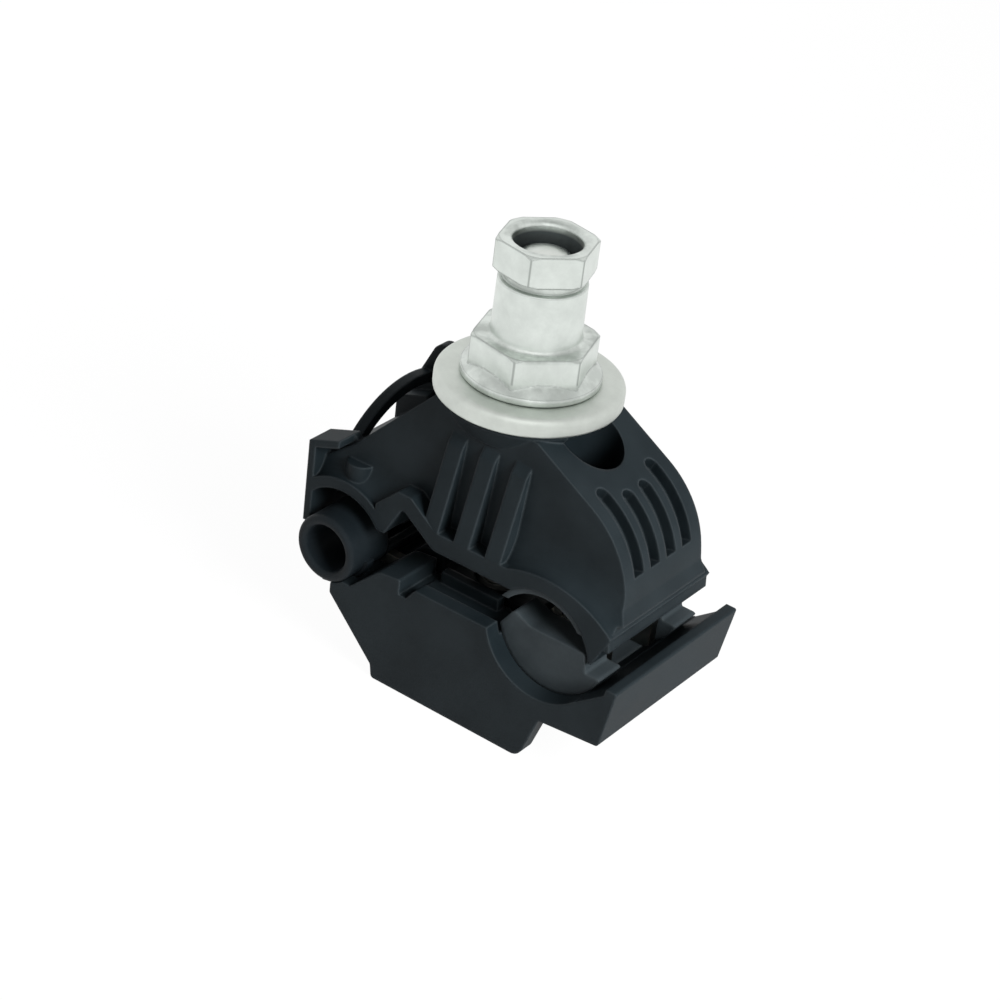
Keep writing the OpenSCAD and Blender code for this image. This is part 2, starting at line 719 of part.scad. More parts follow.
// Front view of the lip that runs over both channels, before they are cut
module lip_profile() {
    intersection() {
        translate([arch_x, rim_z]) circle(r = rim_r);
        polygon([[arch_x - arch_r - over, lip_z - foot_drop], [arch_x + arch_r + foot_w, lip_z - foot_drop],
                 [canopy_x1, lip_z], [canopy_x1, far], [arch_x - arch_r - over, far]]);
    }
    intersection() {
        translate([branch_x, branch_z]) circle(r = branch_r + branch_rim_t);
        translate([end_x, lip_z - end_drop]) square([-end_x, far]);
    }
    translate([end_x, lip_z - end_drop]) square([end_t, end_drop + end_rise]);
    polygon(rounded([
        [tip_x - tip_w, lip_z - tip_drop, 0], [tip_x - tip_w, lip_z + lip_t, edge_r],
        [peak_x - peak_t / 2, lip_z + peak_dz + peak_t, edge_r],
        [peak_x + peak_t / 2, lip_z + peak_dz + peak_t, edge_r],
        [ramp_x, lip_z + lip_t, edge_r], [arch_x, lip_z + lip_t, 0], [arch_x, lip_z - tip_drop, 0]]));
}

// Space of both channels and of the gap between the jaws
module channel_profile() {
    translate([arch_x, arch_z]) circle(r = arch_r);
    translate([arch_x - arch_r, -far]) square([2 * arch_r, far + arch_z]);
    intersection() {
        union() {
            translate([branch_x, branch_z]) circle(r = branch_r);
            translate([branch_x - branch_r, -far]) square([2 * branch_r, far + branch_z]);
        }
        translate([end_in_x, -far]) square([far, 2 * far]);
    }
    polygon(rounded([
        [tip_x - tip_w, -far, 0], [arch_x, -far, 0], [arch_x, lip_z, 0], [ramp_x, lip_z, ramp_r],
        [peak_x, lip_z + peak_dz, edge_r], [tip_x, lip_z - tip_drop, 0],
        [tip_x - tip_w, lip_z - tip_drop, 0]]));
}

// Hollow flare that leads a canopy's rim back into the dome, around an axis along Y
module flare(x, z, r) {
    h = rim_out - bite;
    translate([x, -dome_half, z]) rotate([90, 0, 0]) rotate_extrude() polygon(concat(
        [[0, -over], [0, h]],
        [for (i = [0 : flare_steps])
            let (a = 90 * i / flare_steps)
            [r - bite + flare_w * (1 - cos(a)), h * (1 - sin(a))]],
        [[r - bite + flare_w, -over]]));
}

// Tapered rib from the lip to the washer's seat
module rib(x) {
    rib_h = dome_h - rib_drop;
    translate([x, 0, lip_z]) rotate([0, rib_lean, 0]) translate([-rib_w / 2, 0, 0])
        rotate([90, 0, 90]) linear_extrude(rib_w) polygon([
            [-dome_half + over, over], [-upper_half, over], [-upper_half, lip_t],
            [-dome_half - rib_top, rib_h - rib_bevel], [-dome_half, rib_h], [-dome_half + over, rib_h]]);
}

// Corner lug of the left end, with a pocket that is open to the front
module lug() {
    lug_y = -upper_half + lug_l;
    block(end_x, end_in_x, -upper_half, lug_y, lip_z - over, lug_z);
    roof_z = lug_z + roof_rise;
    translate([0, lug_y - lug_l / 2, 0]) along_y(lug_l) polygon([
        [end_x, lug_z - end_t], [roof_x1, roof_z - end_t], [roof_x1, roof_z], [end_x, lug_z]]);
    translate([0, lug_y - end_t / 2, 0]) along_y(end_t) polygon([
        [end_x, lip_z], [branch_x, lip_z], [branch_x, lug_z], [roof_x1, roof_z], [end_x, lug_z]]);
    translate([barrel_x, -dome_half, lip_z + lip_t]) cylinder(r = barrel_r, h = barrel_dz - lip_t);
}

// Arched bar over the left slope, from the front lug to the rear fin
module arched_bar() {
    intersection() {
        translate([bar_x - bar_w / 2, bar_y, bar_axis_z]) rotate([0, 90, 0]) difference() {
            cylinder(r = bar_r, h = bar_w);
            translate([0, 0, -over]) cylinder(r = bar_r - bar_t, h = bar_w + 2 * over);
        }
        block(-far, 0, -upper_half + lug_l - end_t, upper_half, lip_z + lip_t, far);
    }
}

// Fin on the rear lug, above the end of the arched bar
module rear_fin() {
    translate([0, upper_half - fin_t / 2, 0]) along_y(fin_t) polygon(rounded([
        [end_x, lug_z - over, 0], [end_x, lug_z, edge_r], [fin_x, lip_z + fin_dz, fin_r],
        [fin_x1, lip_z + fin_dz, edge_r], [fin_x1, lug_z - over, 0]]));
}

// Curved slot that follows the right shoulder up to an angle, with a round upper end
module shoulder_slot(a1) {
    floor_r = shoulder_r - slot_d;
    along_y(slot_w) intersection() {
        difference() {
            circle(r = shoulder_r + far);
            circle(r = floor_r);
        }
        polygon([[0, 0], 2 * far * [cos(slot_a0), sin(slot_a0)], 2 * far * [cos(a1), sin(a1)]]);
    }
    rotate([0, 90 - a1, 0]) translate([0, 0, floor_r + bite]) cylinder(d = slot_w - bite, h = far);
}

// Row of slots, of which the middle ones end below the cored hole
module shoulder_slots() {
    for (i = [0 : slot_n - 1])
        translate([shoulder_x, (i - (slot_n - 1) / 2) * slot_pitch, shoulder_z])
            shoulder_slot(arc_end + (i == 0 || i == slot_n - 1 ? slot_up : -slot_down));
}

module upper_jaw() {
    color(jaw_colour)
    difference() {
        union() {
            difference() {
                along_y(2 * dome_half) dome_profile();
                shoulder_slots();
            }
            along_y(2 * upper_half) lip_profile();
            front_and_rear() {
                intersection() {
                    union() {
                        flare(arch_x, rim_z, rim_r);
                        flare(branch_x, branch_z, branch_r + branch_rim_t);
                    }
                    along_y(jaw_depth) dome_profile();
                }
                for (i = [0 : rib_n - 1])
                    rib(rib_x + (i - (rib_n - 1) / 2) * rib_pitch);
                lug();
            }
            arched_bar();
            rear_fin();
            // Seat of the washer
            rotate_extrude() polygon([
                [0, dome_z - seat_cone_h], [seat_r - seat_cone_w, dome_z - seat_cone_h], [seat_r, dome_z],
                [seat_r, seat_z], [0, seat_z]]);
        }
        along_y(jaw_depth) channel_profile();
        // Hollow behind the lip in the gap between the channels
        block(deck_x, arch_x - lip_t, -upper_half + face_t, upper_half - face_t, 0, lip_z + lip_t - roof_t);
        translate([core_x, 0, lip_z + core_dz]) cylinder(d = core_d, h = far);
        blade_slots(blade_x0 - insert_clear, arch_x + main_teeth_w + blade_end + insert_clear,
                    0, upper_blade_z + insert_clear);
        translate([0, 0, -over]) cylinder(r = bolt_hole_r, h = 2 * far);
    }
}

module upper_blade(side) {
    color(blade_colour)
    translate([0, side * blade_y, 0]) mirror([0, 0, 1]) along_y(blade_t)
        polygon(blade_outline(arch_x, -upper_blade_z, -sleeve_z - sleeve_id / 2 - tooth_clear,
                              -upper_seal_z - tooth_clear));
}

module upper_front_blade() {
    upper_blade(-1);
}

module upper_rear_blade() {
    upper_blade(1);
}

// Upper seal of the main cable: a rubber bow at each end of the arch, joined along both sides
module upper_main_seal() {
    seal_y = upper_half - seal_gap;
    color(seal_colour)
    difference() {
        bar_y(arch_x, arch_z, arch_r - insert_clear, -seal_y, seal_y);
        bar_y(arch_x, arch_z, arch_r - upper_seal_t, -far, far);
        block(-far, far, -far, far, 0, arch_z + upper_seal_dz);
        block(arch_x - window_w, arch_x + window_w, -window_half, window_half, 0, far);
    }
}

// Upper half ring of rubber over the branch cable, slotted for the blades
module upper_branch_seal() {
    ring_r = branch_r - insert_clear;
    color(sleeve_colour)
    difference() {
        bar_y(branch_x, branch_z, ring_r, -window_half, window_half);
        bar_y(branch_x, branch_z, ring_r - branch_seal_t, -far, far);
        block(-far, 0, -far, far, 0, branch_z + branch_seal_dz);
        block(-far, end_in_x + insert_clear, -far, far, 0, far);
        blade_slots(blade_x0 - insert_clear, branch_slot_x1 + insert_clear, 0, far);
    }
}

module top_washer() {
    color(steel_colour)
    translate([0, 0, seat_z]) rotate_extrude() polygon([
        [bolt_hole_r, 0], [washer_d / 2 - metal_edge, 0], [washer_d / 2, metal_edge],
        [washer_d / 2, washer_t - metal_edge], [washer_d / 2 - metal_edge, washer_t],
        [bolt_hole_r, washer_t]]);
}

// Nut in one piece: the upper hexagon twists off at the groove when the set torque is reached
module shear_nut() {
    z_neck = flange_h + low_h;
    z_shear = z_neck + neck_h;
    z_top = z_shear + shear_h;
    low_r = low_af / 2;
    color(steel_colour)
    translate([0, 0, nut_z]) difference() {
        union() {
            rotate_extrude() polygon([
                [0, 0], [flange_d / 2 - metal_edge, 0], [flange_d / 2, metal_edge],
                [flange_d / 2, flange_rim_h],
                [low_r, flange_h], [low_r - over, flange_h], [low_r - over, z_neck - over],
                [neck_d / 2, z_neck - over], [neck_d / 2, z_shear - metal_edge],
                [neck_d / 2 - metal_edge, z_shear], [shear_d / 2, z_shear], [shear_d / 2, z_top + over],
                [0, z_top + over]]);
            translate([0, 0, flange_rim_h]) rotate(hex_turn)
                chamfered_hexagon(low_af, z_neck - flange_rim_h, high = hex_chamfer);
            translate([0, 0, z_top]) rotate(hex_turn)
                chamfered_hexagon(top_af, top_h, low = hex_chamfer, high = hex_chamfer);
        }
        translate([0, 0, -over]) cylinder(r = bolt_d / 2 + thread_clear, h = far);
        translate([0, 0, z_shear - hollow_sink]) cylinder(d = hollow_d, h = far);
    }
}

lower_jaw();
clamp_bolt();
lower_front_blade();
lower_rear_blade();
lower_main_seal();
lower_branch_seal();
branch_sleeve();
branch_end_cap();
upper_jaw();
upper_front_blade();
upper_rear_blade();
upper_main_seal();
upper_branch_seal();
top_washer();
shear_nut();
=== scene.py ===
import math

import bmesh
import bpy
import numpy as np
from mathutils import Matrix, Vector


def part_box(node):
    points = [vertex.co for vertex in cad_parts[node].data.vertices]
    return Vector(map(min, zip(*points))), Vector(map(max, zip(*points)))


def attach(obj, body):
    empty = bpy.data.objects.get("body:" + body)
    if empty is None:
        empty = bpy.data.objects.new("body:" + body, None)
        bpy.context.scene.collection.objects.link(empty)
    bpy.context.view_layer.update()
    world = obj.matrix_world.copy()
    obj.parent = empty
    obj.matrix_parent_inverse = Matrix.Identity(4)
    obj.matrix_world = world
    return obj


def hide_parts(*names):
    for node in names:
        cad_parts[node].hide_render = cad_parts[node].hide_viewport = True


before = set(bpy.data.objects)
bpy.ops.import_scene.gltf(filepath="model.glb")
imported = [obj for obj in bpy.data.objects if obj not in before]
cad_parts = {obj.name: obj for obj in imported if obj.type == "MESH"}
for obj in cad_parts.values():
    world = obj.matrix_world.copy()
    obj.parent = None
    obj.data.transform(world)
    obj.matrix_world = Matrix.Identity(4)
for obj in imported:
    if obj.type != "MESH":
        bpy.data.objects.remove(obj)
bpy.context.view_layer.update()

# Lower jaw: the clamp's base, moulded in black glass-filled nylon with a satin, spark-eroded skin.
# Its edges are slightly rubbed, and round ejector marks are left on the floors that face down.
# Everything else of the lower half is pressed or dropped into it.


class Shade:
    """A socket in a material's node tree. Arithmetic on values adds Math nodes."""

    def __init__(self, tree, socket=None):
        self.tree = tree
        self.socket = socket

    def node(self, kind, inputs=(), out=0, **settings):
        """Adds a node, gives it its settings, then links or sets each input."""
        made = self.tree.nodes.new("ShaderNode" + kind)
        for name, value in settings.items():
            setattr(made, name, value)
        for key, value in dict(inputs).items():
            if isinstance(value, Shade):
                self.tree.links.new(value.socket, made.inputs[key])
            else:
                made.inputs[key].default_value = value
        return Shade(self.tree, made.outputs[out])

    def maths(self, operation, *others):
        """One Math node on this value and the others."""
        return self.node("Math", enumerate((self, *others)), operation=operation)

    def __add__(self, other):
        return self.maths("ADD", other)

    def __sub__(self, other):
        return self.maths("SUBTRACT", other)

    def __rsub__(self, other):
        return self.node("Math", {0: other, 1: self}, operation="SUBTRACT")

    def __mul__(self, other):
        return self.maths("MULTIPLY", other)

    __radd__ = __add__
    __rmul__ = __mul__

    def held(self, low, high):
        """0 up to low, 1 from high on and a straight rise between them. Low may be the larger number."""
        return self.node("MapRange", {0: self, 1: low, 2: high, 3: 0.0, 4: 1.0})

    def grain(self, size, detail=2.0, rough=0.5):
        """Noise in Object coordinates whose lumps are about that many millimetres wide."""
        place = self.node("TexCoord", out=3)
        return self.node("TexNoise", {"Vector": place, "Scale": 1000.0 / size, "Detail": detail,
                                      "Roughness": rough})

    def blend(self, mask, first, second):
        """Goes from the first colour to the second as the mask goes from 0 to 1."""
        return self.node("Mix", {"Factor": mask, 6: first, 7: second}, out=2, data_type="RGBA")

    def place(self, *scale):
        """Object coordinates, each times its scale."""
        return self.node("VectorMath", {0: self.node("TexCoord", out=3), 1: scale}, operation="MULTIPLY")

    def ring(self, x, y, radius, width):
        """1 on a circle round an upright axis and 0 away from it, in millimetres."""
        off = self.node("VectorMath", {0: self.place(1.0, 1.0, 0.0), 1: (x / 1000, y / 1000, 0.0)}, out=1,
                        operation="DISTANCE") - radius / 1000
        return 1.0 - off.maths("ABSOLUTE").held(0.0, width / 1000)

    def lathe(self, size):
        """Noise of radius and height alone, so that its streaks run round the bolt's axis."""
        radius = self.node("VectorMath", {0: self.place(1.0, 1.0, 0.0)}, out=1, operation="LENGTH")
        height = self.node("SeparateXYZ", {0: self.place(0.0, 0.0, 1.0)}, out=2)
        spot = self.node("CombineXYZ", {0: radius, 1: height})
        return self.node("TexNoise", {"Vector": spot, "Scale": 1000.0 / size, "Detail": 3.0})

    def rubbed(self, reach, low=0.02, high=0.3):
        """A rounded normal, and a mask of its lean from the true one: 0 on a flat and 1 on an edge."""
        soft = self.node("Bevel", {"Radius": reach}, samples=6)
        true = self.node("NewGeometry", out=1)
        lean = self.node("VectorMath", {0: soft, 1: true}, out=1, operation="DOT_PRODUCT")
        return soft, (1.0 - lean).held(low, high)


def colour(red, green, blue):
    """A colour as it is seen on a screen, from 0 to 255, turned into linear light."""
    seen = np.array([red, green, blue]) / 255
    light = np.where(seen <= 0.04045, seen / 12.92, ((seen + 0.055) / 1.055) ** 2.4)
    return (*light.tolist(), 1.0)


def new_finish(name):
    """An empty material with its surface shader, and a Shade to build its nodes with."""
    finish = bpy.data.materials.new(name)
    finish.use_nodes = True
    return finish, Shade(finish.node_tree), finish.node_tree.nodes["Principled BSDF"]


def link(shader, socket, shade):
    """Feeds one socket of a surface shader."""
    shade.tree.links.new(shade.socket, shader.inputs[socket])


def dress(node, finish):
    """Puts a finish on every material slot of a CAD node."""
    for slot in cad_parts[node].material_slots:
        slot.material = finish


jaw_finish, jaw, jaw_shader = new_finish("black_moulded_nylon")
jaw_soft, jaw_edge = jaw.rubbed(0.0006)
jaw_haze = jaw.grain(9.0, 3.0).held(0.35, 0.65)
jaw_skin = jaw.grain(0.22, 2.0)
jaw_glass = jaw.grain(0.9, 4.0, 0.65)
jaw_body = jaw.blend(jaw_haze, colour(19, 25, 28), colour(26, 32, 35))
link(jaw_shader, "Base Color", jaw.blend(jaw_edge * 0.5, jaw_body, colour(62, 68, 71)))
link(jaw_shader, "Roughness", 0.47 + jaw_haze * 0.07 + jaw_skin * 0.06 - jaw_edge * 0.08)
jaw_down = jaw.node("SeparateXYZ", {0: jaw.node("NewGeometry", out=1)}, out=2).held(-0.7, -0.8)
pin_columns, pin_rows, pin_r, pin_line = (-12.5, 15.0), (7.5, -7.5), 1.9, 0.15
jaw_pins = sum(jaw.ring(x, y, pin_r, pin_line) for x in pin_columns for y in pin_rows)
jaw_fine = jaw.node("Bump", {
    "Strength": 0.16, "Distance": 0.00008, "Height": jaw_skin + jaw_glass * 0.7, "Normal": jaw_soft})
link(jaw_shader, "Normal", jaw.node("Bump", {
    "Strength": 0.6, "Distance": 0.0002, "Height": jaw_pins * jaw_down, "Normal": jaw_fine}))
jaw_shader.inputs["Specular IOR Level"].default_value = 0.085
dress("lower_jaw", jaw_finish)

# Clamp bolt: a zinc-plated M8 hexagon bolt pushed up from below and threaded to its end.
# Its head sits in the lower jaw's pocket, which keeps it from turning, and its end shows in the nut.
# Between the jaws the thread is painted near black and rougher, as painted shade where the jaws shadow it.


def corners(node):
    """Lowest and highest corner of a CAD node, in millimetres to a hundredth."""
    return np.round(np.array(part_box(node)) * 1000, 2).tolist()


bolt_low, bolt_high = corners("clamp_bolt")
bolt_head_z, bolt_seat_z, bolt_top_z = bolt_low[2], 8.0, bolt_high[2]
bolt_r, bolt_pitch, bolt_root, bolt_columns = 4.0, 1.25, 3.35, 72
head_across, head_face_r, head_rows = 13.0, 6.0, 24
thread_z0, thread_lead, thread_fade, thread_steps = 13.0, 0.1, 2.0, 10
flank_slope, root_flat = 1.35, 0.15
tip_end, tip_plain, tip_fade, tip_depth = 0.5, 0.4, 0.9, 0.25
point_h, point_slope = 1.3, 0.6
point_crown = ((3.1, 0.32), (2.6, 0.12), (1.4, 0.03), (0.0, 0.0))
# Heights between which the thread is darkened as painted shade, where the jaws shadow it.
shaded_low_z, shaded_high_z = 9.0, 47.0
hexagon_turn, corner_wear = math.radians(48), 0.988
chamfer_rise = math.tan(math.radians(30))


def round_of(count):
    """Angles once round the bolt, from a hexagon's corner on."""
    return hexagon_turn + np.arange(count) * 2 * math.pi / count


def hexagon_r(angle, across):
    """Radius of a hexagon: half its width across the flats over the cosine of the angle from the flat's
    middle, with the corners worn a little round."""
    off = np.mod(angle - hexagon_turn, math.pi / 3) - math.pi / 6
    full = across / 2 / math.cos(math.pi / 6)
    return np.minimum(across / 2 / np.cos(off), full * corner_wear)


def turned_skin(name, radii, heights, angle, ring, sharp=32):
    """A skin wound round the bolt's axis: row i, column j lies at radius radii[i, j], height heights[i, j]
    and angle[j]. Millimetres in, metres out. A ring's last row meets its first, and a row of no radius
    closes into one point."""
    radii, heights = np.broadcast_arrays(radii, heights)
    rows, columns = radii.shape
    points = np.stack([radii * np.cos(angle), radii * np.sin(angle), heights], -1).reshape(-1, 3) / 1000
    i, j = np.meshgrid(np.arange(rows if ring else rows - 1), np.arange(columns), indexing="ij")
    up, on = (i + 1) % rows, (j + 1) % columns
    quads = np.stack([i * columns + j, i * columns + on, up * columns + on, up * columns + j], -1)
    mesh = bpy.data.meshes.new(name)
    mesh.from_pydata(points, [], quads.reshape(-1, 4).tolist())
    merged = bmesh.new()
    merged.from_mesh(mesh)
    bmesh.ops.remove_doubles(merged, verts=merged.verts, dist=1e-7)
    merged.to_mesh(mesh)
    merged.free()
    mesh.polygons.foreach_set("use_smooth", np.ones(len(mesh.polygons), bool))
    mesh.set_sharp_from_angle(angle=math.radians(sharp))
    made = bpy.data.objects.new(name, mesh)
    bpy.context.scene.collection.objects.link(made)
    return made


def level(rows, count):
    """Rows of radius and height that are the same all round, as two arrays with one column an angle."""
    rows = np.array(rows, float)
    return np.repeat(rows[:, :1], count, 1), np.repeat(rows[:, 1:], count, 1)


def bend(middle_r, middle_z, radius, start, end, steps=6):
    """Rows along an arc in the profile's plane, between two angles in degrees from straight outwards."""
    a = np.radians(np.linspace(start, end, steps))
    return np.stack([middle_r + radius * np.cos(a), middle_z + radius * np.sin(a)], -1).tolist()


def thread_r_at(z, angle):
    """Radius of the thread: a triangle wave of the height in pitches less the angle in turns, made steeper so
    that crest and root are flat. The cut fades in above the thread's start and out towards the bolt's tip,
    and the tip's cone takes off what lies outside it."""
    wave = np.abs(2 * np.mod(z / bolt_pitch - angle / (2 * math.pi), 1.0) - 1)
    crest = np.clip(flank_slope * wave - root_flat, 0, 1)
    start = np.clip((z - thread_z0) / thread_fade, 0, 1)
    stop = np.clip((bolt_top_z - tip_plain - z) / tip_fade, tip_depth, 1)
    cone = bolt_r - np.maximum(z - bolt_top_z + point_h, 0) * point_slope
    return np.minimum(bolt_r - (bolt_r - bolt_root) * (1 - crest) * start * stop, cone)


bolt_angle = round_of(bolt_columns)
head_z = np.linspace(bolt_head_z, bolt_seat_z, head_rows)[:, None]
head_chamfer = head_face_r + (head_z - bolt_head_z) / chamfer_rise
head_r = np.minimum(hexagon_r(bolt_angle, head_across), head_chamfer)
thread_z = np.arange(thread_z0, bolt_top_z - tip_end, bolt_pitch / thread_steps)[:, None]
thread_r = thread_r_at(thread_z, bolt_angle)
face_r, face_z = level([[0, bolt_head_z], [head_face_r / 2, bolt_head_z], [head_face_r, bolt_head_z]],
                       bolt_columns)
shank_r, shank_z = level([[bolt_r, bolt_seat_z], [bolt_r, thread_z0 - thread_lead]], bolt_columns)
end_r, end_z = level([[r, bolt_top_z - drop] for r, drop in point_crown], bolt_columns)
head_z, thread_z = head_z.repeat(bolt_columns, 1), thread_z.repeat(bolt_columns, 1)
clamp_bolt = turned_skin("threaded_bolt", np.concatenate([face_r, head_r, shank_r, thread_r, end_r]),
                         np.concatenate([face_z, head_z, shank_z, thread_z, end_z]), bolt_angle, ring=False)

zinc_finish, zinc, zinc_shader = new_finish("zinc_plated_steel")
zinc_cloud = zinc.grain(3.0, 4.0, 0.6).held(0.3, 0.7)
zinc_fine = zinc.grain(0.25, 2.0)
zinc_z = zinc.node("SeparateXYZ", {0: zinc.place(1.0, 1.0, 1.0)}, out=2) + zinc_cloud * 0.001
# Painted shade: the thread between the jaws gets a near-black colour and more roughness where the jaws shadow
# it.
zinc_above = (zinc_z - shaded_low_z / 1000).held(0.0, 0.001)
zinc_painted_shade = zinc_above * (shaded_high_z / 1000 - zinc_z).held(0.0, 0.001)
zinc_plate = zinc.blend(zinc_cloud, colour(212, 216, 210), colour(230, 234, 230))
link(zinc_shader, "Base Color", zinc.blend(zinc_painted_shade * 0.94, zinc_plate, colour(30, 30, 27)))
link(zinc_shader, "Roughness", 0.24 + zinc_cloud * 0.08 + zinc_fine * 0.05 + zinc_painted_shade * 0.2)
link(zinc_shader, "Normal", zinc.node("Bump", {
    "Strength": 0.12, "Distance": 0.00005, "Height": zinc_fine + zinc_cloud}))
zinc_shader.inputs["Metallic"].default_value = 1.0
clamp_bolt.data.materials.append(zinc_finish)
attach(clamp_bolt, "lower_jaw")
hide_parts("clamp_bolt")

# Contact blades: toothed plates stamped from tinned copper alloy, two in each jaw.
# They stand on edge in moulded slots, and the teeth bite through both cables' insulation.
# The tin is dull grey under a film of contact grease.
blade_finish, blade, blade_shader = new_finish("tinned_contact_plate")
blade_soft, blade_edge = blade.rubbed(0.00025)
blade_cloud = blade.grain(2.2, 3.0).held(0.3, 0.7)
blade_place = blade.node("Mapping", {"Vector": blade.node("TexCoord", out=3), "Scale": (1.0, 1.0, 14.0)})
blade_drag = blade.node("TexNoise", {"Vector": blade_place, "Scale": 700.0, "Detail": 3.0})
blade_tin = blade.blend(blade_cloud, colour(104, 106, 102), colour(136, 137, 132))
link(blade_shader, "Base Color", blade.blend(blade_edge * 0.5, blade_tin, colour(168, 158, 138)))
link(blade_shader, "Roughness", 0.34 + blade_cloud * 0.12 + blade_drag * 0.1)
link(blade_shader, "Normal", blade.node("Bump", {
    "Strength": 0.2, "Distance": 0.00004, "Height": blade_drag, "Normal": blade_soft}))
blade_shader.inputs["Metallic"].default_value = 1.0
for plate in ("lower_front_blade", "lower_rear_blade", "upper_front_blade", "upper_rear_blade"):
    dress(plate, blade_finish)

# Main cable's seals: charcoal rubber pads that close round the thick cable and keep water out.
# The lower one lies in the cradle and the upper one in the arch, both loose in their pockets.
seal_finish, seal, seal_shader = new_finish("charcoal_seal_rubber")
seal_soft, seal_edge = seal.rubbed(0.0007)
seal_cloud = seal.grain(5.0, 4.0, 0.6).held(0.3, 0.7)
seal_pore = seal.grain(0.35, 3.0, 0.6)
seal_body = seal.blend(seal_cloud, colour(36, 42, 45), colour(47, 53, 56))
link(seal_shader, "Base Color", seal.blend(seal_edge * 0.4, seal_body, colour(70, 76, 78)))
link(seal_shader, "Roughness", 0.6 + seal_cloud * 0.1 + seal_pore * 0.1)
link(seal_shader, "Normal", seal.node("Bump", {
    "Strength": 0.25, "Distance": 0.0001, "Height": seal_pore + seal_cloud * 0.5, "Normal": seal_soft}))
seal_shader.inputs["Specular IOR Level"].default_value = 0.2
for pad in ("lower_main_seal", "upper_main_seal"):
    dress(pad, seal_finish)

# Branch cable's rubber: an entry sleeve with a rolled lip, the blind cap at the far end, and two half seals.
# They are black, softer and a little glossier than the pads, and are pushed into the jaws by hand.
sleeve_finish, sleeve, sleeve_shader = new_finish("black_sleeve_rubber")
sleeve_soft = sleeve.node("Bevel", {"Radius": 0.0005}, samples=6)
sleeve_cloud = sleeve.grain(6.0, 3.0).held(0.3, 0.7)
sleeve_pore = sleeve.grain(0.3, 2.0)
link(sleeve_shader, "Base Color", sleeve.blend(sleeve_cloud, colour(14, 19, 22), colour(20, 25, 28)))
link(sleeve_shader, "Roughness", 0.46 + sleeve_cloud * 0.1 + sleeve_pore * 0.08)
link(sleeve_shader, "Normal", sleeve.node("Bump", {
    "Strength": 0.15, "Distance": 0.00008, "Height": sleeve_pore + sleeve_cloud, "Normal": sleeve_soft}))
sleeve_shader.inputs["Specular IOR Level"].default_value = 0.13
for rubber in ("branch_sleeve", "branch_end_cap", "lower_branch_seal", "upper_branch_seal"):
    dress(rubber, sleeve_finish)

# Upper jaw: the domed hood that closes over both cables, moulded in the same black nylon.
# It slides down the bolt towards the lower jaw as the nut is tightened.
dress("upper_jaw", jaw_finish)

# Top washer: a thick pressed steel ring with a rolled outer edge, dull zinc plated.
# It lies loose on the upper jaw's seat and spreads the nut's load over the plastic.
washer_low, washer_high = corners("top_washer")
washer_z, washer_top, washer_r = washer_low[2], washer_high[2], washer_high[0]
washer_hole, hole_break, washer_columns = 4.35, 0.3, 144
under_bend, rolled_bend, roll_ease, flat_gap = 0.5, 1.1, 0.5, 0.1
washer_rows = [
    [washer_hole, washer_z], [washer_r - under_bend - flat_gap, washer_z],
    *bend(washer_r - under_bend, washer_z + under_bend, under_bend, -80, 0, 5),
    *bend(washer_r - rolled_bend, washer_top - rolled_bend, rolled_bend, 0, 84, 10),
    [washer_r - rolled_bend - roll_ease, washer_top], [washer_hole + hole_break, washer_top],
    [washer_hole, washer_top - hole_break]]
washer_r_grid, washer_z_grid = level(washer_rows, washer_columns)
top_washer = turned_skin("rolled_washer", washer_r_grid, washer_z_grid, round_of(washer_columns), ring=True)

washer_finish, dull, dull_shader = new_finish("dull_zinc_washer")
dull_cloud = dull.grain(4.0, 4.0, 0.65).held(0.3, 0.7)
dull_fine = dull.grain(0.3, 3.0)
link(dull_shader, "Base Color", dull.blend(dull_cloud, colour(200, 205, 199), colour(216, 221, 215)))
link(dull_shader, "Roughness", 0.38 + dull_cloud * 0.1 + dull_fine * 0.08)
link(dull_shader, "Normal", dull.node("Bump", {
    "Strength": 0.18, "Distance": 0.00006, "Height": dull_fine + dull_cloud + dull.lathe(0.2)}))
dull_shader.inputs["Metallic"].default_value = 1.0
top_washer.data.materials.append(washer_finish)
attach(top_washer, "upper_jaw")
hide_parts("top_washer")

# Shear nut: turned and milled in one piece from zinc alloy, with a flange, a lower hexagon and a neck.
# The upper hexagon is the spanner's: it twists off at the groove below it once the joint is tight.
nut_low, nut_high = corners("shear_nut")
nut_z, nut_h, flange_r, nut_columns = nut_low[2], nut_high[2] - nut_low[2], nut_high[0], 240
flange_under, flange_over, flange_over_z = 0.3, 0.35, 0.8
cone_z0, cone_z1, cone_wide_r, cone_slim_r = 1.1, 2.4, flange_r - 0.2, 8.15
low_across, low_top, low_flat_z = 16.3, 6.3, (3.6, 4.8)
ledge_r, neck_r, neck_fillet, neck_taper, neck_round, neck_middle = 7.6, 6.5, 0.6, 0.05, 0.25, 10.5
groove_r, groove_z, groove_break = 5.6, 15.0, 0.2
top_across, top_z, top_flat_z = 13.0, 16.4, (18.0, 19.5)
hollow_r, hollow_z, mouth_round, thread_hole_r = 4.9, 14.5, 0.8, 4.1
corner_break, corner_rows = 0.6, 14
nut_angle = round_of(nut_columns)


def milled(heights, across, low=None, high=None):
    """Rows of a hexagon whose corners are turned off by a cone at its lower or upper end: at each height the
    smaller of the hexagon's and the cone's radius."""
    z = np.array(heights)[:, None]
    r = np.broadcast_to(hexagon_r(nut_angle, across), (len(heights), nut_columns))
    end_r = across / 2 / math.cos(math.pi / 6) - corner_break
    if low is not None:
        r = np.minimum(r, end_r + (z - low) / chamfer_rise)
    if high is not None:
        r = np.minimum(r, end_r + (high - z) / chamfer_rise)
    return r, z.repeat(nut_columns, 1)


